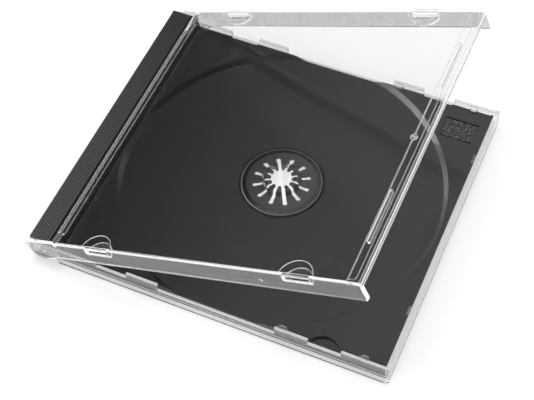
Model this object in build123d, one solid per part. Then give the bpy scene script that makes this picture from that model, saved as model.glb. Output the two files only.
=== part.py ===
from build123d import *
import math
import os

# CD jewel case with its lid part open: clear base, dark disc tray and clear hinged lid.
# Millimetres. X runs from the hinge spine to the opening edge, Y along the hinge, Z up.
# The origin is the middle of the closed case's footprint, on the surface it lies on.

# Case outside
CASE_LENGTH = 142.0
CASE_WIDTH = 124.5
CASE_HEIGHT = 10.4
LID_OPEN_ANGLE = 21.5

# Disc and booklet that the case is made for
DISC_RADIUS = 60.0
DISC_BORE_RADIUS = 7.5
DISC_CENTRE_X = 4.55

# Clear mouldings
BASE_PLATE = 1.2
BASE_WALL = 1.1
FRONT_WALL = 1.7
LID_PLATE = 1.2
LID_WALL = 1.15
LID_TO_BASE_SIDE = 0.3
CLOSED_GAP = 0.3
CORNER_RADIUS = 1.1
WALL_END_RADIUS = 1.3
EDGE_RADIUS = 0.35

# Hinge
PIVOT_INSET = 5.2
PIN_RADIUS = 1.45
PIN_CLEARANCE = 0.05
PIN_TIP_SHORT = 0.2
PIN_TIP_CHAMFER = 0.3
ARM_FOOT_LENGTH = 9.8
ARM_FOOT_LIFT = 0.4
ARM_LOW_RADIUS = 4.6
ARM_TOP_RADIUS = 0.8
FLANGE_RELIEF = 1.2
SWEEP_CLEARANCE = 0.3

# Lid details
LID_PLATE_START = 13.1
HINGE_LIP_THICKNESS = 1.1
HINGE_LIP_DEPTH = 2.2
HINGE_LIP_END_DEPTH = 1.2
HINGE_LIP_END_LENGTH = 5.3
TAB_OFFSET = 41.9
TAB_RADIUS = 5.6
TAB_THICKNESS = 0.9
TAB_GAP = 2.4
TAB_CENTRE_OUT = 1.0
TAB_WITNESS_MARGIN = 0.9
TAB_WITNESS_DEPTH = 0.3
WINDOW_END_MARGIN = 0.4
BOOKLET_RIB_INSET = 5.6
BOOKLET_RIB_WIDTH = 0.3
BOOKLET_RIB_DEPTH = 0.25
GATE_NUB_RADIUS = 1.2
GATE_NUB_DEPTH = 0.6
GATE_DIMPLE_RADIUS = 0.5
STOP_BAR_GAP = 0.3
STOP_BAR_WIDTH = 1.0
STOP_BAR_LENGTH = 22.0
STOP_BAR_DEPTH = 1.2
STOP_BAR_OFFSET = 34.3
FRONT_LIP_WIDTH = 1.4
FRONT_LIP_DEPTH = 0.8
FRONT_STEP_WIDTH = 2.8
FRONT_STEP_DEPTH = 0.35
FRONT_STEP_RADIUS = 1.6
DETENT_FROM_LUG = 1.0
DETENT_HEIGHT = 4.5
DETENT_RADIUS = 1.0
DETENT_PROUD = 0.28
DETENT_DIMPLE_MARGIN = 0.25

# Base details
SIDE_WALL_TO_PLATE = 1.5
HINGE_WALL_TO_PLATE = 0.4
TAB_NOTCH_CLEARANCE = 0.9
TAB_NOTCH_MARGIN = 0.7
WELL_NOTCH_DROP = 0.45
WELL_NOTCH_MARGIN = 2.8
LUG_RADIUS = 1.8
LUG_THICKNESS = 0.85
LUG_REACH = 1.5
LUG_GAP = 0.25
HINGE_LUG_INSET = 15.5
WELL_LUG_GAP = 0.8
OPENING_LUG_INSET = 10.0
FRONT_LUG_Y = 35.8
FRONT_LUG_WIDTH = 3.4
FRONT_LUG_REACH = 1.1

# Tray
TRAY_SHELL = 1.0
TRAY_SKIRT = 0.9
TRAY_CLEARANCE = 0.3
TRAY_LIFT = 0.1
DECK_TO_PLATE = 3.0
EDGE_STEP_WIDTH = 0.9
EDGE_STEP_DEPTH = 0.5
EDGE_STEP_END = 1.0
INLAY_SPACE = 2.0
WELL_TOP_MARGIN = 2.75
WELL_FLOOR_MARGIN = 1.2
RECESS_MARGIN = 0.9
RECESS_DEPTH = 1.3
STRIP_EDGE_INSET = 0.2
STRIP_END_INSET = 0.2
STRIP_BELOW_TOP = 0.2
STRIP_SEAT_GAP = 0.15
RIB_PITCH = 1.0
RIB_VALLEY = 0.15
RIB_FACE_ANGLE = 26.0
LEAST_LAND = 3.0
FRONT_NOTCH_CLEARANCE = 0.3
PANEL_SIZE = (13.5, 9.6)
PANEL_FROM_CORNER = (10.2, 11.7)
PANEL_DEPTH = 0.15
PANEL_GROOVE_WIDTH = 0.5
PANEL_GROOVE_DEPTH = 0.4

# Snap rosette that holds the disc
RING_RADIUS = 15.6
RING_HEIGHT = 0.3
RING_DRAFT = 0.3
RING_ROOT = 0.8
SHOULDER_WIDTH = 2.0
SHOULDER_HEIGHT = 0.6
SEAT_HEIGHT = 0.85
SNAP_INTERFERENCE = 0.12
TOOTH_RISE = 3.3
TOOTH_COUNT = 12
TOOTH_TIP_RADIUS = 4.0
TOOTH_THICKNESS = 0.9
SLOT_TIP_WIDTH = 0.95
SLOT_WIDTH = 1.5
SLOT_END_CENTRE = 10.3
SLOT_END_RADIUS = 0.92
SLOT_BEARING = 0.0

# Places worked out from the sizes above
SPINE_X = -CASE_LENGTH / 2
FRONT_X = CASE_LENGTH / 2
LID_OUT_Y = CASE_WIDTH / 2
LID_IN_Y = LID_OUT_Y - LID_WALL
BASE_OUT_Y = LID_IN_Y - LID_TO_BASE_SIDE
BASE_IN_Y = BASE_OUT_Y - BASE_WALL
TRAY_Y = BASE_IN_Y - TRAY_CLEARANCE
LID_IN_Z = CASE_HEIGHT - LID_PLATE
SIDE_WALL_HEIGHT = LID_IN_Z - SIDE_WALL_TO_PLATE
HINGE_WALL_HEIGHT = LID_IN_Z - HINGE_WALL_TO_PLATE
DECK_HEIGHT = LID_IN_Z - DECK_TO_PLATE
WELL_FLOOR_HEIGHT = BASE_PLATE + INLAY_SPACE + TRAY_SHELL
RECESS_FLOOR_HEIGHT = DECK_HEIGHT - RECESS_DEPTH
PIVOT_X = SPINE_X + PIVOT_INSET
PIVOT_Z = CASE_HEIGHT / 2
LID_WALL_FOOT_Z = BASE_PLATE + CLOSED_GAP
ARM_FOOT_X = SPINE_X + ARM_FOOT_LENGTH
FLANGE_START_X = ARM_FOOT_X + FLANGE_RELIEF
PLATE_START_X = SPINE_X + LID_PLATE_START
LIP_FOOT_Z = LID_IN_Z - HINGE_LIP_DEPTH
LIP_END_FOOT_Z = LID_IN_Z - HINGE_LIP_END_DEPTH
TAB_X = (DISC_CENTRE_X - TAB_OFFSET, DISC_CENTRE_X + TAB_OFFSET)
TAB_TOP_Z = LID_IN_Z - TAB_GAP
TAB_LOW_Z = TAB_TOP_Z - TAB_THICKNESS
TAB_NOTCH_HEIGHT = TAB_LOW_Z - TAB_NOTCH_CLEARANCE
TAB_CENTRE_Y = LID_IN_Y + TAB_CENTRE_OUT
BOOKLET_RIB_X = FRONT_X - BOOKLET_RIB_INSET
STOP_BAR_X = BOOKLET_RIB_X + BOOKLET_RIB_WIDTH / 2 + STOP_BAR_GAP + STOP_BAR_WIDTH / 2
FRONT_LIP_FOOT_Z = LID_IN_Z - FRONT_LIP_DEPTH
FRONT_WALL_TOP_Z = FRONT_LIP_FOOT_Z - CLOSED_GAP
FRONT_WALL_IN_X = FRONT_X - FRONT_WALL
LUG_LOW_Z = DECK_HEIGHT + LUG_GAP
WELL_TOP_RADIUS = DISC_RADIUS + WELL_TOP_MARGIN
WELL_FLOOR_RADIUS = DISC_RADIUS + WELL_FLOOR_MARGIN
WELL_CHORD = math.sqrt(max(0.0, WELL_TOP_RADIUS**2 - TRAY_Y**2))
WELL_NOTCH_HEIGHT = WELL_FLOOR_HEIGHT - WELL_NOTCH_DROP
WELL_NOTCH_LENGTH = 2 * (WELL_CHORD + WELL_NOTCH_MARGIN)
WELL_LUG_X = DISC_CENTRE_X + WELL_NOTCH_LENGTH / 2 + WELL_LUG_GAP + LUG_RADIUS
SIDE_LUG_X = (SPINE_X + HINGE_LUG_INSET, WELL_LUG_X, FRONT_X - OPENING_LUG_INSET)
DETENT_X = WELL_LUG_X + DETENT_FROM_LUG
RECESS_RADIUS = TAB_RADIUS + RECESS_MARGIN
TRAY_FOOT_Z = BASE_PLATE + TRAY_LIFT
TRAY_FRONT_X = FRONT_WALL_IN_X - TRAY_CLEARANCE
STRIP_START_X = SPINE_X + STRIP_EDGE_INSET
STRIP_Y = BASE_OUT_Y - STRIP_END_INSET
STRIP_TOP_HEIGHT = CASE_HEIGHT - STRIP_BELOW_TOP
STRIP_LAND_Z = STRIP_TOP_HEIGHT - STRIP_SEAT_GAP
STRIP_LOW_Z = HINGE_WALL_HEIGHT + STRIP_SEAT_GAP
LIP_SWEEP_RADIUS = math.hypot(PLATE_START_X - PIVOT_X, LIP_FOOT_Z - PIVOT_Z)
RISER_RADIUS = LIP_SWEEP_RADIUS - SWEEP_CLEARANCE


def block(x0, x1, y0, y1, z0, z1):
    """A box between two corners."""
    return Pos((x0 + x1) / 2, (y0 + y1) / 2, (z0 + z1) / 2) * Box(x1 - x0, y1 - y0, z1 - z0)


def both_sides(shape):
    """A shape and its mirror image across the case's long middle plane."""
    return shape + mirror(shape, Plane.XZ)


def along_y(outline, y0, y1):
    """An outline drawn as X and Z, carried from y0 to y1."""
    face = Plane.XZ * outline
    return Pos(0, y1, 0) * extrude(face, amount=y1 - y0)


def soft_case():
    """The closed case's envelope, with its two opening corners and its long outer edges rounded."""
    envelope = block(SPINE_X, FRONT_X, -LID_OUT_Y, LID_OUT_Y, 0, CASE_HEIGHT)
    corners = envelope.edges().filter_by(Axis.Z).sort_by(Axis.X)[-2:]
    envelope = fillet(corners, CORNER_RADIUS)
    rims = envelope.edges() - envelope.edges().filter_by(Axis.Z) - envelope.edges().group_by(Axis.X)[0]
    return fillet(rims, EDGE_RADIUS)


def reach_at(radius, height):
    """X of a circle about the hinge axis at a height above the table, on its opening side."""
    return PIVOT_X + math.sqrt(radius**2 - (height - PIVOT_Z) ** 2)


def lid_side():
    """Long side wall of the lid with its hinge arm, pin, windows and booklet tabs."""
    corners = [
        (SPINE_X, CASE_HEIGHT),
        (SPINE_X, ARM_FOOT_LIFT),
        (ARM_FOOT_X, ARM_FOOT_LIFT),
        (ARM_FOOT_X, LID_WALL_FOOT_Z),
        (FRONT_X, LID_WALL_FOOT_Z),
        (FRONT_X, CASE_HEIGHT),
    ]
    outline = make_face(Polyline(*corners, close=True))
    radii = ((0, ARM_TOP_RADIUS), (1, ARM_LOW_RADIUS), (2, CORNER_RADIUS), (4, WALL_END_RADIUS))
    for corner, radius in radii:
        x, z = corners[corner]
        vertex = outline.vertices().sort_by_distance((x, z, 0))[0]
        outline = fillet(vertex, radius)
    wall = along_y(outline, LID_IN_Y, LID_OUT_Y)
    half_window = TAB_RADIUS - WINDOW_END_MARGIN
    for x in TAB_X:
        wall -= block(x - half_window, x + half_window, BASE_IN_Y, CASE_WIDTH, TAB_TOP_Z, LID_IN_Z)
        wall += booklet_tab(x)
    nub = Pos(DETENT_X, LID_IN_Y - DETENT_PROUD + DETENT_RADIUS, DETENT_HEIGHT) * Sphere(DETENT_RADIUS)
    wall += nub & block(-FRONT_X, FRONT_X, 0, LID_IN_Y + LID_WALL / 2, 0, CASE_HEIGHT)
    return wall + hinge_pin()


def booklet_tab(x):
    """Half-moon tab that carries the booklet's edge, standing in from the wall."""
    disc = Pos(x, TAB_CENTRE_Y, TAB_LOW_Z) * extrude(Circle(TAB_RADIUS), amount=TAB_THICKNESS)
    inside = block(-FRONT_X, FRONT_X, 0, LID_IN_Y + LID_WALL / 2, 0, CASE_HEIGHT)
    return disc & inside


def hinge_pin():
    """Short pin on the inner face of an arm, chamfered so that it snaps into the base."""
    tip_y = BASE_IN_Y + PIN_TIP_SHORT
    length = LID_IN_Y + LID_WALL / 2 - tip_y
    pin = Cylinder(PIN_RADIUS, length, align=(Align.CENTER, Align.CENTER, Align.MIN))
    pin = chamfer(pin.edges().filter_by(GeomType.CIRCLE).sort_by(Axis.Z)[0], PIN_TIP_CHAMFER)
    return Pos(PIVOT_X, tip_y, PIVOT_Z) * Rot(-90, 0, 0) * pin


def lid_hinge_lip():
    """Lip under the plate's hinge end, which stops the booklet, shallower over the base walls."""
    end_y = LID_IN_Y - HINGE_LIP_END_LENGTH
    lip_in_x = PLATE_START_X + HINGE_LIP_THICKNESS
    deep = block(PLATE_START_X, lip_in_x, -end_y, end_y, LIP_FOOT_Z, LID_IN_Z)
    return deep + block(PLATE_START_X, lip_in_x, -LID_IN_Y, LID_IN_Y, LIP_END_FOOT_Z, LID_IN_Z)


def lid_front():
    """Opening end of the lid: booklet rib, gate nub, two stop bars and the front lip."""
    rib_x = BOOKLET_RIB_X - BOOKLET_RIB_WIDTH / 2
    front = block(rib_x, rib_x + BOOKLET_RIB_WIDTH, -LID_IN_Y, LID_IN_Y,
                  LID_IN_Z - BOOKLET_RIB_DEPTH, LID_IN_Z)
    nub = Circle(GATE_NUB_RADIUS) - Circle(GATE_DIMPLE_RADIUS)
    front += Pos(BOOKLET_RIB_X, 0, LID_IN_Z - GATE_NUB_DEPTH) * extrude(nub, amount=GATE_NUB_DEPTH)
    bar = extrude(SlotOverall(STOP_BAR_LENGTH, STOP_BAR_WIDTH, rotation=90), amount=STOP_BAR_DEPTH)
    for y in (-STOP_BAR_OFFSET, STOP_BAR_OFFSET):
        front += Pos(STOP_BAR_X, y, LID_IN_Z - STOP_BAR_DEPTH) * bar
    front += block(FRONT_X - FRONT_LIP_WIDTH, FRONT_X, -LID_IN_Y, LID_IN_Y,
                   FRONT_LIP_FOOT_Z, LID_IN_Z)
    step = block(BOOKLET_RIB_X, FRONT_X, -LID_IN_Y, LID_IN_Y, LID_IN_Z - FRONT_STEP_DEPTH, LID_IN_Z)
    hollow = block(0, FRONT_X - FRONT_STEP_WIDTH, -LID_IN_Y + FRONT_STEP_RADIUS / 2,
                   LID_IN_Y - FRONT_STEP_RADIUS / 2, 0, CASE_HEIGHT)
    corners = hollow.edges().filter_by(Axis.Z).sort_by(Axis.X)[-2:]
    return front + (step - fillet(corners, FRONT_STEP_RADIUS))


def make_lid():
    """Clear front cover, modelled closed and turned open about the hinge axis."""
    plate = block(PLATE_START_X, FRONT_X, -LID_OUT_Y, LID_OUT_Y, LID_IN_Z, CASE_HEIGHT)
    witness = extrude(Circle(TAB_RADIUS + TAB_WITNESS_MARGIN), amount=TAB_WITNESS_DEPTH)
    inside = block(-FRONT_X, FRONT_X, 0, LID_IN_Y, 0, CASE_HEIGHT)
    for x in TAB_X:
        mark = (Pos(x, TAB_CENTRE_Y, LID_IN_Z) * witness) & inside
        plate -= both_sides(mark)
    lid = plate + both_sides(lid_side()) + lid_hinge_lip() + lid_front()
    lid &= soft_case()
    hinge_axis = Axis((PIVOT_X, 0, PIVOT_Z), (0, -1, 0))
    return lid.rotate(hinge_axis, LID_OPEN_ANGLE)


def base_side():
    """Low side wall of the base with its hinge hole, notches, detent dimple and tray lugs."""
    riser_x = reach_at(RISER_RADIUS, STRIP_TOP_HEIGHT)
    wall = block(SPINE_X, riser_x, BASE_IN_Y, BASE_OUT_Y, 0, HINGE_WALL_HEIGHT)
    wall += block(SPINE_X, FRONT_X, BASE_IN_Y, BASE_OUT_Y, 0, SIDE_WALL_HEIGHT)
    half_notch = TAB_RADIUS + TAB_NOTCH_MARGIN
    for x in TAB_X:
        wall -= block(x - half_notch, x + half_notch, 0, CASE_WIDTH, TAB_NOTCH_HEIGHT, CASE_HEIGHT)
    half_well = WELL_NOTCH_LENGTH / 2
    wall -= block(DISC_CENTRE_X - half_well, DISC_CENTRE_X + half_well, 0, CASE_WIDTH,
                  WELL_NOTCH_HEIGHT, CASE_HEIGHT)
    lug = extrude(Circle(LUG_RADIUS), amount=LUG_THICKNESS)
    lug &= block(-LUG_RADIUS, LUG_RADIUS, -LUG_REACH, BASE_WALL / 2, 0, LUG_THICKNESS)
    for x in SIDE_LUG_X:
        wall += block(x - LUG_RADIUS, x + LUG_RADIUS, BASE_IN_Y, BASE_OUT_Y, 0, SIDE_WALL_HEIGHT)
        wall += Pos(x, BASE_IN_Y, LUG_LOW_Z) * lug
    hole = Cylinder(PIN_RADIUS + PIN_CLEARANCE, CASE_WIDTH)
    wall -= Pos(PIVOT_X, CASE_WIDTH / 2, PIVOT_Z) * Rot(90, 0, 0) * hole
    dimple_radius = DETENT_RADIUS + DETENT_DIMPLE_MARGIN
    dimple_y = LID_IN_Y - DETENT_PROUD + DETENT_RADIUS
    return wall - Pos(DETENT_X, dimple_y, DETENT_HEIGHT) * Sphere(dimple_radius)


def make_base():
    """Clear back cover: plate with side flanges, spine, front wall and two side walls."""
    plate = block(SPINE_X, FRONT_X, -BASE_OUT_Y, BASE_OUT_Y, 0, BASE_PLATE)
    flange = block(FLANGE_START_X, FRONT_X, -LID_OUT_Y, LID_OUT_Y, 0, BASE_PLATE)
    flange = fillet(flange.edges().filter_by(Axis.Z).sort_by(Axis.X)[:2], CORNER_RADIUS)
    spine = block(SPINE_X, SPINE_X + BASE_WALL, -BASE_OUT_Y, BASE_OUT_Y, 0, HINGE_WALL_HEIGHT)
    front = block(FRONT_WALL_IN_X, FRONT_X, -BASE_OUT_Y, BASE_OUT_Y, 0, FRONT_WALL_TOP_Z)
    base = plate + flange + spine + front + both_sides(base_side())
    base &= soft_case()
    half_lug = FRONT_LUG_WIDTH / 2
    for y in (-FRONT_LUG_Y, FRONT_LUG_Y):
        base += block(FRONT_WALL_IN_X - FRONT_LUG_REACH, FRONT_WALL_IN_X, y - half_lug, y + half_lug,
                      LUG_LOW_Z, LUG_LOW_Z + LUG_THICKNESS)
    return base


def ribbed_strip():
    """Hinge-side grip strip: roof-shaped ribs and a smooth land, ending on an arc about the hinge."""
    end = (reach_at(RISER_RADIUS, STRIP_LAND_Z), STRIP_LAND_Z)
    foot = (reach_at(RISER_RADIUS, STRIP_LOW_Z), STRIP_LOW_Z)
    rib_count = int((end[0] - LEAST_LAND - STRIP_START_X) / RIB_PITCH)
    face_length = (RIB_PITCH - RIB_VALLEY) / 2
    valley_z = STRIP_TOP_HEIGHT - face_length * math.tan(math.radians(RIB_FACE_ANGLE))
    here = (STRIP_START_X, valley_z)
    edges = [Line((STRIP_START_X, STRIP_LOW_Z), here)]
    for rib in range(rib_count):
        rib_start = (here[0] + RIB_VALLEY, valley_z)
        ridge = (rib_start[0] + face_length, STRIP_TOP_HEIGHT)
        rib_end = (ridge[0] + face_length, valley_z)
        edges += [Line(here, rib_start), Line(rib_start, ridge), Line(ridge, rib_end)]
        here = rib_end
    land = (here[0], STRIP_LAND_Z)
    edges += [Line(here, land), Line(land, end), riser_arc(RISER_RADIUS, end, foot)]
    edges.append(Line(foot, (STRIP_START_X, STRIP_LOW_Z)))
    return along_y(make_face(edges), -STRIP_Y, STRIP_Y)


def riser_arc(radius, start, end):
    """Arc about the hinge axis between two points, drawn as X and Z."""
    angles = [math.atan2(z - PIVOT_Z, x - PIVOT_X) for x, z in (start, end)]
    middle = sum(angles) / 2
    through = (PIVOT_X + radius * math.cos(middle), PIVOT_Z + radius * math.sin(middle))
    return ThreePointArc(start, through, end)


def tray_riser():
    """Curved wall between the deck and the ribbed strip, concentric with the hinge."""
    inner_radius = RISER_RADIUS - TRAY_SHELL
    deck_low_z = DECK_HEIGHT - TRAY_SHELL
    top = (reach_at(RISER_RADIUS, STRIP_LAND_Z), STRIP_LAND_Z)
    foot = (reach_at(RISER_RADIUS, deck_low_z), deck_low_z)
    inner_foot = (reach_at(inner_radius, deck_low_z), deck_low_z)
    inner_top = (reach_at(inner_radius, STRIP_LAND_Z), STRIP_LAND_Z)
    edges = [
        riser_arc(RISER_RADIUS, top, foot),
        Line(foot, inner_foot),
        riser_arc(inner_radius, inner_foot, inner_top),
        Line(inner_top, top),
    ]
    return along_y(make_face(edges), -TRAY_Y, TRAY_Y)


def tray_shell():
    """Deck with skirt, well cup and recess cups, all at one shell thickness."""
    deck_start_x = reach_at(RISER_RADIUS, DECK_HEIGHT) - TRAY_SHELL
    outside = block(deck_start_x, TRAY_FRONT_X, -TRAY_Y, TRAY_Y, TRAY_FOOT_Z, DECK_HEIGHT)
    hollow = block(deck_start_x + TRAY_SKIRT, TRAY_FRONT_X - TRAY_SKIRT, -TRAY_Y + TRAY_SKIRT,
                   TRAY_Y - TRAY_SKIRT, 0, DECK_HEIGHT - TRAY_SHELL)
    cup = Cone(WELL_FLOOR_RADIUS + TRAY_SHELL, WELL_TOP_RADIUS + TRAY_SHELL,
               DECK_HEIGHT - WELL_FLOOR_HEIGHT + TRAY_SHELL,
               align=(Align.CENTER, Align.CENTER, Align.MIN))
    cup = (Pos(DISC_CENTRE_X, 0, WELL_FLOOR_HEIGHT - TRAY_SHELL) * cup) & outside
    shell = outside - hollow + cup
    recess_cup = extrude(Circle(RECESS_RADIUS + TRAY_SHELL), amount=DECK_HEIGHT - RECESS_FLOOR_HEIGHT)
    for x in TAB_X:
        place = Pos(x, TAB_CENTRE_Y, RECESS_FLOOR_HEIGHT - TRAY_SHELL)
        shell += both_sides((place * recess_cup) & outside)
    well_depth = DECK_HEIGHT - WELL_FLOOR_HEIGHT
    well = Cone(WELL_FLOOR_RADIUS, WELL_TOP_RADIUS, well_depth,
                align=(Align.CENTER, Align.CENTER, Align.MIN))
    shell += tray_riser()
    return shell - Pos(DISC_CENTRE_X, 0, WELL_FLOOR_HEIGHT) * well


def tray_cuts():
    """Half-moon recesses, stepped deck edges, front notches and the bare sunk panel."""
    recess = extrude(Circle(RECESS_RADIUS), amount=CASE_HEIGHT)
    cuts = []
    for x in TAB_X:
        cuts.append(Pos(x, TAB_CENTRE_Y, RECESS_FLOOR_HEIGHT) * recess)
        cuts.append(Pos(x, -TAB_CENTRE_Y, RECESS_FLOOR_HEIGHT) * recess)
    step_x = (reach_at(RISER_RADIUS, DECK_HEIGHT), TRAY_FRONT_X - EDGE_STEP_END)
    step = block(*step_x, TRAY_Y - EDGE_STEP_WIDTH, TRAY_Y, DECK_HEIGHT - EDGE_STEP_DEPTH, DECK_HEIGHT)
    cuts.append(both_sides(step))
    half_notch = FRONT_LUG_WIDTH / 2 + FRONT_NOTCH_CLEARANCE
    for y in (-FRONT_LUG_Y, FRONT_LUG_Y):
        cuts.append(block(TRAY_FRONT_X - FRONT_LUG_REACH, FRONT_X, y - half_notch, y + half_notch,
                          DECK_HEIGHT - EDGE_STEP_DEPTH, CASE_HEIGHT))
    panel_x = TRAY_FRONT_X - PANEL_FROM_CORNER[0]
    panel_y = TRAY_Y - PANEL_FROM_CORNER[1]
    panel = Rectangle(*PANEL_SIZE)
    groove = panel - offset(panel, -PANEL_GROOVE_WIDTH)
    for sketch, depth in ((panel, PANEL_DEPTH), (groove, PANEL_GROOVE_DEPTH)):
        cuts.append(Pos(panel_x, panel_y, DECK_HEIGHT - depth) * extrude(sketch, amount=CASE_HEIGHT))
    return cuts


def rosette():
    """Disc hub: low ring, domed spring plate and snap teeth that curl in over the middle."""
    low = WELL_FLOOR_HEIGHT
    seat_z = low + SEAT_HEIGHT
    snap_radius = DISC_BORE_RADIUS + SNAP_INTERFERENCE
    tooth_z = low + TOOTH_RISE
    thick = TOOTH_THICKNESS
    neck_radius = DISC_BORE_RADIUS - SNAP_INTERFERENCE
    crown_radius = (snap_radius + TOOTH_TIP_RADIUS) / 2
    ring_edge = (RING_RADIUS - RING_DRAFT, low + RING_HEIGHT)
    shoulder = (ring_edge[0] - SHOULDER_WIDTH, low + SHOULDER_HEIGHT)
    bulge = (RING_HEIGHT + SHOULDER_HEIGHT * 2) / 3
    round_shoulder = ThreePointArc(ring_edge, (ring_edge[0] - SHOULDER_WIDTH / 2, low + bulge), shoulder)
    upper = [
        shoulder,
        (neck_radius + thick, seat_z),
        (neck_radius, seat_z + thick / 3),
        (snap_radius, tooth_z - thick),
        (snap_radius - thick, tooth_z - thick / 4),
        (crown_radius, tooth_z),
        (TOOTH_TIP_RADIUS, tooth_z - thick / 3),
    ]
    lower = [
        (TOOTH_TIP_RADIUS, tooth_z - thick * 4 / 3),
        (crown_radius, tooth_z - thick),
        (neck_radius - thick, tooth_z - thick * 3 / 2),
        (neck_radius - thick, seat_z - thick / 2),
        (neck_radius + thick, seat_z - thick),
        (shoulder[0], shoulder[1] - thick),
        (RING_RADIUS + RING_ROOT, low - TRAY_SHELL),
        (RING_RADIUS + RING_ROOT, low),
        (RING_RADIUS, low),
        ring_edge,
    ]
    section = make_face([*round_shoulder.edges(), *Polyline(*upper, *lower).edges()])
    hub = revolve(Plane.XZ * section, axis=Axis.Z)
    half_tip, half_end = SLOT_TIP_WIDTH / 2, SLOT_WIDTH / 2
    corners = [(0, -half_tip), (SLOT_END_CENTRE, -half_end), (SLOT_END_CENTRE, half_end), (0, half_tip)]
    slot = make_face(Polyline(*corners, close=True)) + Pos(SLOT_END_CENTRE, 0) * Circle(SLOT_END_RADIUS)
    slot = extrude(slot, amount=CASE_HEIGHT)
    for tooth in range(TOOTH_COUNT):
        hub -= Rot(0, 0, SLOT_BEARING + tooth * 360 / TOOTH_COUNT) * slot
    return Pos(DISC_CENTRE_X, 0, 0) * hub


def make_tray():
    """Dark tray: ribbed strip, deck, disc well and snap rosette in one moulding."""
    tray = tray_shell() + ribbed_strip()
    for cut in tray_cuts():
        tray -= cut
    hub_hole = extrude(Circle(RING_RADIUS), amount=CASE_HEIGHT)
    return tray - Pos(DISC_CENTRE_X, 0, 0) * hub_hole + rosette()


os.makedirs("parts", exist_ok=True)
pieces = {"lid": make_lid(), "base": make_base(), "disc_tray": make_tray()}
for name, shape in pieces.items():
    export_step(shape, f"parts/{name}.step")
    print(name, "volume", round(shape.volume), "mm3")
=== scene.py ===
import math

import bpy
from mathutils import Matrix, Vector


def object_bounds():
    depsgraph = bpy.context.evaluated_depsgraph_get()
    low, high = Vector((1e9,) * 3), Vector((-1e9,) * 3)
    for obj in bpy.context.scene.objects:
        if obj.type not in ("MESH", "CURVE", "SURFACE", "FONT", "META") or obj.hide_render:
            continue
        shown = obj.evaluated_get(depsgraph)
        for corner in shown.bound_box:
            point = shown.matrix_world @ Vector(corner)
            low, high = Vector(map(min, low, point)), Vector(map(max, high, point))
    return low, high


# CD jewel case with its lid part open: clear polystyrene covers around a dark disc tray.
# Metres, in the model's own frame: X from the hinge spine to the opening edge, Z up.

MM = 0.001
WHITE = "#FFFFFF"
POLYSTYRENE_IOR = 1.59

# Camera, as the photograph was taken
IMAGE_WIDTH = 534
FOCAL_PIXELS = 1260.0
SENSOR_WIDTH = 36.0
CAMERA_AZIMUTH = math.radians(27.15)
CAMERA_ELEVATION = math.radians(55.22)
CAMERA_ROLL = math.radians(-4.18)
CAMERA_DISTANCE = 481.7 * MM
CAMERA_TARGET = Vector((0.94, -6.76, 0.0)) * MM
CAMERA_CLIP_START = 10 * MM

# Moulded walls: from where to where a face counts as steep, by the upward part of its normal
STEEP = (0.75, 0.6)

# Clear covers
CLEAR_COLOUR = "#FCFCFC"
STRAIGHT_THROUGH_COLOUR = "#F0F0F0"
CLEAR_EDGE_RADIUS = 0.35 * MM
FLOW_WAVE = Vector((24.0, 24.0, 24.0)) * MM
FLOW_HEIGHT = 0.004 * MM
HANDLING_PATCH = Vector((9.0, 9.0, 9.0)) * MM
HAZE = (0.01, 0.05)

# Steep walls are tinted greyer on each cover, a little more along fine lines drawn down them
DRAG_LINE = Vector((1.2, 1.2, 6.0)) * MM
DRAG_LINE_EDGES = (0.3, 0.7)
DRAG_BETWEEN_LINES = 0.7
STEEP_WALL_GREY = {"lid": "#CECECE", "base": "#EEEEEE"}

# Rays that turn inside the plastic more often than this are trapped there. A share of them ends
# on a painted white glow, which stands in for light leaving the cover's edges; the rest goes
# straight on.
MOST_TURNS_INSIDE = 2.5
PAINTED_GLOW_STRENGTH = 1.3
PAINTED_GLOW_SHARE = {"lid": 1.0, "base": 0.0}

# Dark tray. The real satin grain is finer; it is drawn as coarse as it needs to show.
BLACK = "#111111"
# Pale grey for the panel's specks and the paler hub seat, and for the painted highlights on the
# hub's rim and on steep walls
PALE_FOR_SPECKS_AND_PAINTED_HIGHLIGHTS = "#A0A0A0"
TRAY_EDGE_RADIUS = 0.05 * MM
SATIN_GRAIN = Vector((0.35, 0.35, 0.35)) * MM
SATIN_GRAIN_HEIGHT = 0.002 * MM
SHEEN = (0.11, 0.17)
# Steep tray walls on the opening side are painted paler: a painted sheen where they catch the
# light
WALL_PAINTED_SHEEN = 0.22
PAINTED_SHEEN_WALL_START = (-18.0 * MM, 8.0 * MM)

# Small sunk panel at any height, its grain, also coarse enough to show, and its pale specks
PANEL_CENTRE = Vector((58.8, 47.7, 0.0)) * MM
PANEL_HALF_SIZE = Vector((6.1, 4.2, 1.0)) * MM
PANEL_GRAIN = Vector((0.75, 0.75, 0.75)) * MM
PANEL_GRAIN_HEIGHT = 0.2 * MM
SPECK_EDGES = (0.5, 0.62)
SPECK_RUB = 0.32

# Disc hub: groove round it, a painted highlight as a thin pale line on the rim inside the groove,
# and a paler seat
IN_PLAN = (1.0, 1.0, 0.0)
HUB_CENTRE = Vector((4.55, 0.0, 0.0)) * MM
HUB_GROOVE_RADIUS = 15.95 * MM
HUB_GROOVE_HALF_WIDTH = 0.55 * MM
HUB_GROOVE_DEPTH = 0.7 * MM
HUB_RIM_RADIUS = 15.4 * MM
HUB_RIM_HALF_WIDTH = 0.35 * MM
HUB_SEAT_EDGE = (13.9 * MM, 13.1 * MM)
SEAT_PALER = 0.11

# Light table, a hair below the case so that their faces don't share a plane
TABLE_COLOUR = "#DDDDDD"
TABLE_ROUGHNESS = 0.9
FLOOR_SIZE = 40.0
FLOOR_DROP = 0.02 * MM
# Painted pool of light: the table's glow for camera, glossy and transmission rays is brightest
# under the middle of the case, fading between these radii
TABLE_PAINTED_GLOW = (0.94, 0.39)
TABLE_PAINTED_GLOW_RADII = (25.0 * MM, 55.0 * MM)

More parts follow.
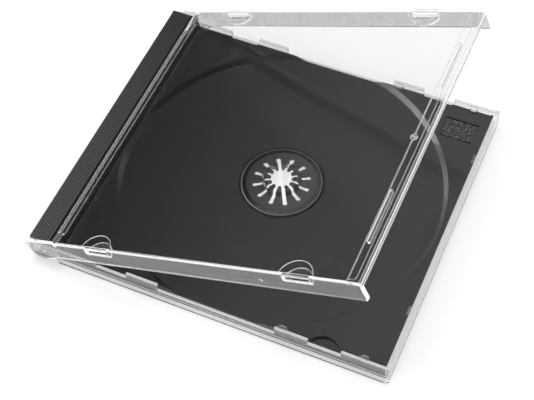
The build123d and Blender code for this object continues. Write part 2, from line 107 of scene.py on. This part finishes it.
# Overhead panel: its edges lie this far across or along per unit of height above the table
PANEL_LIGHT_LEVEL = 1.0
PANEL_LIGHT_LEFT = (-0.56, -0.2)
PANEL_LIGHT_RIGHT = (0.7, 0.3)
PANEL_LIGHT_FAR = (1.15, 0.85)
PANEL_LIGHT_NEAR = (-0.6, -0.2)
PANEL_LIGHT_HOT = (0.5, 0.22)
PANEL_LIGHT_HOT_LEVEL = 1.8

# Dim room, its back wall, and the white light near table height. No slope in it is measured
# by less than the least part of a direction.
LEAST_PART = 0.01
ROOM_LEVEL = 0.06
BACK_WALL_LEVEL = 0.3
TABLE_LIGHT_HEIGHT = 0.16

# Two lights on the hinge side: a bearing is how far along per unit to the left
LEFTWARD_START = (0.0, 0.2)
SIDE_LIGHT_FOOT = (0.0, 0.04)
SIDE_LIGHT_LEVEL = 3.8
SIDE_LIGHT_FAR = (0.9, 0.3)
SIDE_LIGHT_NEAR = (-1.4, -1.1)
SIDE_LIGHT_TOP = (0.27, 0.2)
NEAR_SIDE_BEARING = (-1.7, -0.15)
NEAR_SIDE_LEVEL = (0.9, 6.0)
NEAR_SIDE_END = (0.1, -0.1)
NEAR_SIDE_TOP = (0.55, 0.4)

# Key softbox, which gives the soft shadow
KEY_LIGHT_PLACE = Vector((-0.6, 1.15, 2.7))
KEY_LIGHT_SIZE = 1.05
KEY_LIGHT_POWER = 36.0

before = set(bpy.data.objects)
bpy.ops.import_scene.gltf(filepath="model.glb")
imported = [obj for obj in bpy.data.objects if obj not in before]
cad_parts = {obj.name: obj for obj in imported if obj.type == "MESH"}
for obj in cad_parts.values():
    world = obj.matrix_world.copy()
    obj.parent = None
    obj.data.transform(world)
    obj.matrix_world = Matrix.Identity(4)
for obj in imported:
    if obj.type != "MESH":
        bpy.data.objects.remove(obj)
cad_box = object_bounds()


def linear(hex_colour):
    """A colour written as sRGB hex, as the linear colour that a shader takes."""
    channels = [int(hex_colour[i:i + 2], 16) / 255 for i in (1, 3, 5)]
    curved = [c / 12.92 if c <= 0.04045 else ((c + 0.055) / 1.055) ** 2.4 for c in channels]
    return (*curved, 1.0)


def add_node(tree, kind, settings=None, inputs=()):
    """A new node with its settings and links.

    The inputs are given in the node's own order or by name. Each is a plain value, a node, which
    gives its first output in use, or one output of a node.
    """
    node = tree.nodes.new(kind)
    for name, value in (settings or {}).items():
        setattr(node, name, value)
    chosen = inputs if isinstance(inputs, dict) else dict(enumerate(inputs))
    for name, value in chosen.items():
        if isinstance(value, bpy.types.Node):
            value = next(output for output in value.outputs if output.enabled)
        if isinstance(value, bpy.types.NodeSocket):
            tree.links.new(value, node.inputs[name])
        else:
            node.inputs[name].default_value = value
    return node


def new_material(name):
    """An empty material and its tree."""
    material = bpy.data.materials.new(name)
    material.use_nodes = True
    tree = material.node_tree
    tree.nodes.clear()
    return material, tree


def unevenness(tree, size, detail):
    """Soft noise in the model's own space, with features of about a real size along each axis."""
    place = add_node(tree, "ShaderNodeTexCoord")
    in_features = add_node(
        tree, "ShaderNodeVectorMath", {"operation": "DIVIDE"}, (place.outputs["Object"], size)
    )
    return add_node(
        tree, "ShaderNodeTexNoise", inputs={"Vector": in_features, "Scale": 1.0, "Detail": detail}
    )


def patches(tree, limits, detail):
    """A value that wanders between two limits over patches as wide as a fingertip."""
    handling = unevenness(tree, HANDLING_PATCH, detail)
    low, high = limits
    return add_node(
        tree, "ShaderNodeMapRange", inputs={"Value": handling, "To Min": low, "To Max": high}
    )


def mask(tree, *ramps):
    """The product of smooth ramps: each is a value, its start and end, and its low and high.

    A ramp without a low and a high goes from 0 to 1.
    """
    product = 1.0
    for ramp in ramps:
        step = add_node(tree, "ShaderNodeMapRange", {"interpolation_type": "SMOOTHSTEP"}, ramp)
        product = add_node(tree, "ShaderNodeMath", {"operation": "MULTIPLY"}, (product, step))
    return product


def greatest(tree, *values):
    """The greatest of some values."""
    result = values[0]
    for value in values[1:]:
        result = add_node(tree, "ShaderNodeMath", {"operation": "MAXIMUM"}, (result, value))
    return result


def flatness(tree, place):
    """How level a face lies: 1 on the plates, 0 on upright walls."""
    facing = add_node(tree, "ShaderNodeSeparateXYZ", inputs=(place.outputs["Normal"],))
    return add_node(tree, "ShaderNodeMath", {"operation": "ABSOLUTE"}, (facing.outputs["Z"],))


def clear_polystyrene_polished(cover):
    """Clear polystyrene, injection moulded in a polished tool.

    It is water clear with bright and dark edges. Slow flow waves bend its reflections a little,
    and handling leaves patches of faint haze. Steep walls are tinted greyer, a little more along
    fine lines down them. On the lid, rays that turn inside it too often end on a painted white
    glow that brightens its edges. In the base they go straight through.
    """
    material, tree = new_material("clear_polystyrene_polished_" + cover)
    edge = add_node(tree, "ShaderNodeBevel", {"samples": 4}, {"Radius": CLEAR_EDGE_RADIUS})
    flow = unevenness(tree, FLOW_WAVE, detail=1.0)
    wave = add_node(
        tree, "ShaderNodeBump", inputs={"Height": flow, "Distance": FLOW_HEIGHT, "Normal": edge}
    )
    place = add_node(tree, "ShaderNodeTexCoord")
    drag_lines = unevenness(tree, DRAG_LINE, detail=2.0)
    # Steep walls are tinted greyer, a little more along fine lines drawn down them
    steep_grey = mask(
        tree,
        (flatness(tree, place), *STEEP),
        (drag_lines, *DRAG_LINE_EDGES, DRAG_BETWEEN_LINES, 1.0),
    )
    tint = add_node(
        tree,
        "ShaderNodeMix",
        {"data_type": "RGBA"},
        {"Factor": steep_grey, "A": linear(CLEAR_COLOUR), "B": linear(STEEP_WALL_GREY[cover])},
    )
    plastic = add_node(
        tree,
        "ShaderNodeBsdfPrincipled",
        inputs={
            "Base Color": tint,
            "Roughness": patches(tree, HAZE, detail=4.0),
            "IOR": POLYSTYRENE_IOR,
            "Transmission Weight": 1.0,
            "Normal": wave,
        },
    )
    let_through = add_node(
        tree, "ShaderNodeBsdfTransparent", inputs={"Color": linear(STRAIGHT_THROUGH_COLOUR)}
    )
    path = add_node(tree, "ShaderNodeLightPath")
    straight = greatest(tree, path.outputs["Is Shadow Ray"], path.outputs["Is Diffuse Ray"])
    clear = add_node(tree, "ShaderNodeMixShader", inputs=(straight, plastic, let_through))
    trapped = add_node(
        tree,
        "ShaderNodeMath",
        {"operation": "GREATER_THAN"},
        (path.outputs["Glossy Depth"], MOST_TURNS_INSIDE),
    )
    trapped = add_node(
        tree, "ShaderNodeMath", {"operation": "SUBTRACT", "use_clamp": True}, (trapped, straight)
    )
    # Painted white glow that trapped rays end on, so that the lid's edges show bright
    painted_glow = add_node(
        tree, "ShaderNodeEmission", inputs={"Color": linear(WHITE), "Strength": PAINTED_GLOW_STRENGTH}
    )
    way_out = add_node(
        tree, "ShaderNodeMixShader", inputs=(PAINTED_GLOW_SHARE[cover], let_through, painted_glow)
    )
    lit = add_node(tree, "ShaderNodeMixShader", inputs=(trapped, clear, way_out))
    add_node(tree, "ShaderNodeOutputMaterial", inputs={"Surface": lit})
    return material


def on_sunk_panel(tree, place):
    """1 over the tray's small sunk panel, 0 elsewhere."""
    from_middle = add_node(
        tree,
        "ShaderNodeVectorMath",
        {"operation": "SUBTRACT"},
        (place.outputs["Object"], PANEL_CENTRE),
    )
    in_halves = add_node(
        tree, "ShaderNodeVectorMath", {"operation": "DIVIDE"}, (from_middle, PANEL_HALF_SIZE)
    )
    folded = add_node(tree, "ShaderNodeVectorMath", {"operation": "ABSOLUTE"}, (in_halves,))
    sides = add_node(tree, "ShaderNodeSeparateXYZ", inputs=(folded,))
    farther = greatest(tree, sides.outputs["X"], sides.outputs["Y"])
    return add_node(tree, "ShaderNodeMath", {"operation": "LESS_THAN"}, (farther, 1.0))


def hub_radius(tree, place):
    """Distance from the middle of the disc hub, in plan."""
    from_middle = add_node(
        tree,
        "ShaderNodeVectorMath",
        {"operation": "SUBTRACT"},
        (place.outputs["Object"], HUB_CENTRE),
    )
    outward = add_node(
        tree, "ShaderNodeVectorMath", {"operation": "MULTIPLY"}, (from_middle, IN_PLAN)
    )
    return add_node(tree, "ShaderNodeVectorMath", {"operation": "LENGTH"}, (outward,))


def off_circle(tree, radius, circle):
    """Distance in plan from a circle round the hub."""
    gap = add_node(tree, "ShaderNodeMath", {"operation": "SUBTRACT"}, (radius, circle))
    return add_node(tree, "ShaderNodeMath", {"operation": "ABSOLUTE"}, (gap,))


def dark_polystyrene_satin():
    """Carbon-black polystyrene, injection moulded in a satin tool.

    It is near black with a soft wide sheen, and edges that catch the light. The hub's seat is a
    little paler, and a thin line round the hub's rim and the steep walls on the opening side are
    painted paler as painted highlights. A fine groove runs round the hub, and the sunk panel has
    a coarse etched grain with pale specks.
    """
    material, tree = new_material("dark_polystyrene_satin")
    place = add_node(tree, "ShaderNodeTexCoord")
    spot = add_node(tree, "ShaderNodeSeparateXYZ", inputs=(place.outputs["Object"],))
    on_panel = on_sunk_panel(tree, place)
    panel_grain = unevenness(tree, PANEL_GRAIN, detail=1.0)
    etching = add_node(tree, "ShaderNodeMath", {"operation": "MULTIPLY"}, (panel_grain, on_panel))
    radius = hub_radius(tree, place)
    groove = mask(tree, (off_circle(tree, radius, HUB_GROOVE_RADIUS), 0.0, HUB_GROOVE_HALF_WIDTH))
    relief = add_node(tree, "ShaderNodeBevel", {"samples": 6}, {"Radius": TRAY_EDGE_RADIUS})
    for form, height in (
        (unevenness(tree, SATIN_GRAIN, detail=2.0), SATIN_GRAIN_HEIGHT),
        (etching, PANEL_GRAIN_HEIGHT),
        (groove, HUB_GROOVE_DEPTH),
    ):
        relief = add_node(
            tree, "ShaderNodeBump", inputs={"Height": form, "Distance": height, "Normal": relief}
        )
    # Painted highlight: a thin pale line along the hub's rim
    painted_rim_highlight = mask(tree, (off_circle(tree, radius, HUB_RIM_RADIUS), HUB_RIM_HALF_WIDTH, 0.0))
    # The hub's seat is a little paler
    seat = mask(tree, (radius, *HUB_SEAT_EDGE, 0.0, SEAT_PALER))
    # Painted sheen: steep walls on the opening side are paler
    painted_wall_sheen = mask(
        tree,
        (flatness(tree, place), *STEEP, 0.0, WALL_PAINTED_SHEEN),
        (spot.outputs["X"], *PAINTED_SHEEN_WALL_START),
    )
    specks = mask(tree, (panel_grain, *SPECK_EDGES, 0.0, SPECK_RUB), (on_panel, 0.0, 1.0))
    specks_and_painted_highlights = add_node(
        tree,
        "ShaderNodeMix",
        {"data_type": "RGBA"},
        {
            "Factor": greatest(tree, painted_rim_highlight, seat, painted_wall_sheen, specks),
            "A": linear(BLACK),
            "B": linear(PALE_FOR_SPECKS_AND_PAINTED_HIGHLIGHTS),
        },
    )
    plastic = add_node(
        tree,
        "ShaderNodeBsdfPrincipled",
        inputs={
            "Base Color": specks_and_painted_highlights,
            "Roughness": patches(tree, SHEEN, detail=3.0),
            "IOR": POLYSTYRENE_IOR,
            "Normal": relief,
        },
    )
    add_node(tree, "ShaderNodeOutputMaterial", inputs={"Surface": plastic})
    return material


def opal_acrylic_sanded():
    """Opal acrylic, cast and sanded matt, as the top of a light table.

    A painted glow, seen by the camera and in reflections, lifts it, most of all under the middle
    of the case. It photographs as plain white and still keeps the soft shadow where the case
    touches it.
    """
    material, tree = new_material("opal_acrylic_sanded")
    acrylic = add_node(
        tree,
        "ShaderNodeBsdfPrincipled",
        inputs={
            "Base Color": linear(TABLE_COLOUR),
            "Roughness": TABLE_ROUGHNESS,
            "Specular IOR Level": 0.0,
        },
    )
    place = add_node(tree, "ShaderNodeTexCoord")
    away = add_node(
        tree, "ShaderNodeVectorMath", {"operation": "LENGTH"}, (place.outputs["Object"],)
    )
    # Painted pool of light, brightest under the middle of the case
    painted_glow = mask(tree, (away, *TABLE_PAINTED_GLOW_RADII, *TABLE_PAINTED_GLOW))
    path = add_node(tree, "ShaderNodeLightPath")
    rays = [path.outputs[f"Is {kind} Ray"] for kind in ("Camera", "Glossy", "Transmission")]
    seen_painted_glow = add_node(
        tree, "ShaderNodeMath", {"operation": "MULTIPLY"}, (greatest(tree, *rays), painted_glow)
    )
    lift = add_node(
        tree, "ShaderNodeEmission", inputs={"Color": linear(WHITE), "Strength": seen_painted_glow}
    )
    both = add_node(tree, "ShaderNodeAddShader", inputs=(acrylic, lift))
    add_node(tree, "ShaderNodeOutputMaterial", inputs={"Surface": both})
    return material


def dress(node, material):
    """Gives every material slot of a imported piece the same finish."""
    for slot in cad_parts[node].material_slots:
        slot.material = material


def lay_floor():
    """Plain white table under the case."""
    half = FLOOR_SIZE / 2
    mesh = bpy.data.meshes.new("floor")
    corners = [(-half, -half, 0), (half, -half, 0), (half, half, 0), (-half, half, 0)]
    mesh.from_pydata(corners, [], [(0, 1, 2, 3)])
    mesh.materials.append(opal_acrylic_sanded())
    floor = bpy.data.objects.new("floor", mesh)
    bpy.context.scene.collection.objects.link(floor)
    floor.location.z = cad_box[0][2] - FLOOR_DROP


def light_room():
    """A dim room with a bright panel overhead, side lights and white light near table height."""
    world = bpy.data.worlds.new("studio")
    bpy.context.scene.world = world
    world.use_nodes = True
    tree = world.node_tree
    tree.nodes.clear()
    place = add_node(tree, "ShaderNodeTexCoord")
    axes = add_node(tree, "ShaderNodeSeparateXYZ", inputs=(place.outputs["Generated"],))
    x, y, z = (axes.outputs[name] for name in "XYZ")
    height = greatest(tree, z, LEAST_PART)
    across = add_node(tree, "ShaderNodeMath", {"operation": "DIVIDE"}, (x, height))
    along = add_node(tree, "ShaderNodeMath", {"operation": "DIVIDE"}, (y, height))
    panel = mask(
        tree,
        (across, *PANEL_LIGHT_LEFT),
        (across, *PANEL_LIGHT_RIGHT),
        (along, *PANEL_LIGHT_FAR),
        (along, *PANEL_LIGHT_NEAR),
        (along, *PANEL_LIGHT_HOT, PANEL_LIGHT_LEVEL, PANEL_LIGHT_HOT_LEVEL),
    )
    back_wall = mask(
        tree,
        (across, *PANEL_LIGHT_LEFT),
        (along, *reversed(PANEL_LIGHT_FAR), 0.0, BACK_WALL_LEVEL),
    )
    opposite = add_node(tree, "ShaderNodeMath", {"operation": "MULTIPLY"}, (x, -1.0))
    leftward = greatest(tree, opposite, LEAST_PART)
    bearing = add_node(tree, "ShaderNodeMath", {"operation": "DIVIDE"}, (y, leftward))
    side = mask(
        tree,
        (leftward, *LEFTWARD_START, 0.0, SIDE_LIGHT_LEVEL),
        (bearing, *SIDE_LIGHT_FAR),
        (bearing, *SIDE_LIGHT_NEAR),
        (z, *SIDE_LIGHT_TOP),
        (z, *SIDE_LIGHT_FOOT),
    )
    near_side = mask(
        tree,
        (bearing, *NEAR_SIDE_BEARING, *NEAR_SIDE_LEVEL),
        (leftward, *LEFTWARD_START),
        (bearing, *NEAR_SIDE_END),
        (z, *NEAR_SIDE_TOP),
        (z, *SIDE_LIGHT_FOOT),
    )
    near_table = mask(tree, (z, TABLE_LIGHT_HEIGHT, 0.0))
    level = ROOM_LEVEL
    for surface in (panel, back_wall):
        level = add_node(tree, "ShaderNodeMath", {"operation": "ADD"}, (level, surface))
    level = greatest(tree, level, side, near_side, near_table)
    light = add_node(
        tree, "ShaderNodeBackground", inputs={"Color": linear(WHITE), "Strength": level}
    )
    add_node(tree, "ShaderNodeOutputWorld", inputs={"Surface": light})


def hang_key_light():
    """Square softbox above the far hinge corner, which the case doesn't mirror."""
    data = bpy.data.lights.new("key_softbox", "AREA")
    data.shape = "SQUARE"
    data.size = KEY_LIGHT_SIZE
    data.energy = KEY_LIGHT_POWER
    lamp = bpy.data.objects.new("key_softbox", data)
    bpy.context.scene.collection.objects.link(lamp)
    lamp.location = KEY_LIGHT_PLACE
    lamp.rotation_euler = KEY_LIGHT_PLACE.to_track_quat("Z", "Y").to_euler()
    lamp.visible_camera = False
    lamp.visible_glossy = False
    lamp.visible_transmission = False


def place_camera():
    """Camera above the near opening corner, turned a little about its own axis."""
    sine, cosine = math.sin(CAMERA_AZIMUTH), math.cos(CAMERA_AZIMUTH)
    level = math.cos(CAMERA_ELEVATION)
    back = Vector((sine * level, -cosine * level, math.sin(CAMERA_ELEVATION)))
    right = Vector((cosine, sine, 0))
    upright = Matrix((right, back.cross(right), back)).transposed()
    turned = upright @ Matrix.Rotation(CAMERA_ROLL, 3, "Z")
    place = CAMERA_TARGET + back * CAMERA_DISTANCE
    data = bpy.data.cameras.new("camera")
    data.sensor_width = SENSOR_WIDTH
    data.lens = SENSOR_WIDTH * FOCAL_PIXELS / IMAGE_WIDTH
    data.clip_start = CAMERA_CLIP_START
    camera = bpy.data.objects.new("camera", data)
    bpy.context.scene.collection.objects.link(camera)
    camera.matrix_world = Matrix.LocRotScale(place, turned.to_quaternion(), None)
    bpy.context.scene.camera = camera


for cover in ("lid", "base"):
    dress(cover, clear_polystyrene_polished(cover))
dress("disc_tray", dark_polystyrene_satin())
lay_floor()
light_room()
hang_key_light()
place_camera()
bpy.context.scene.view_settings.view_transform = "Standard"
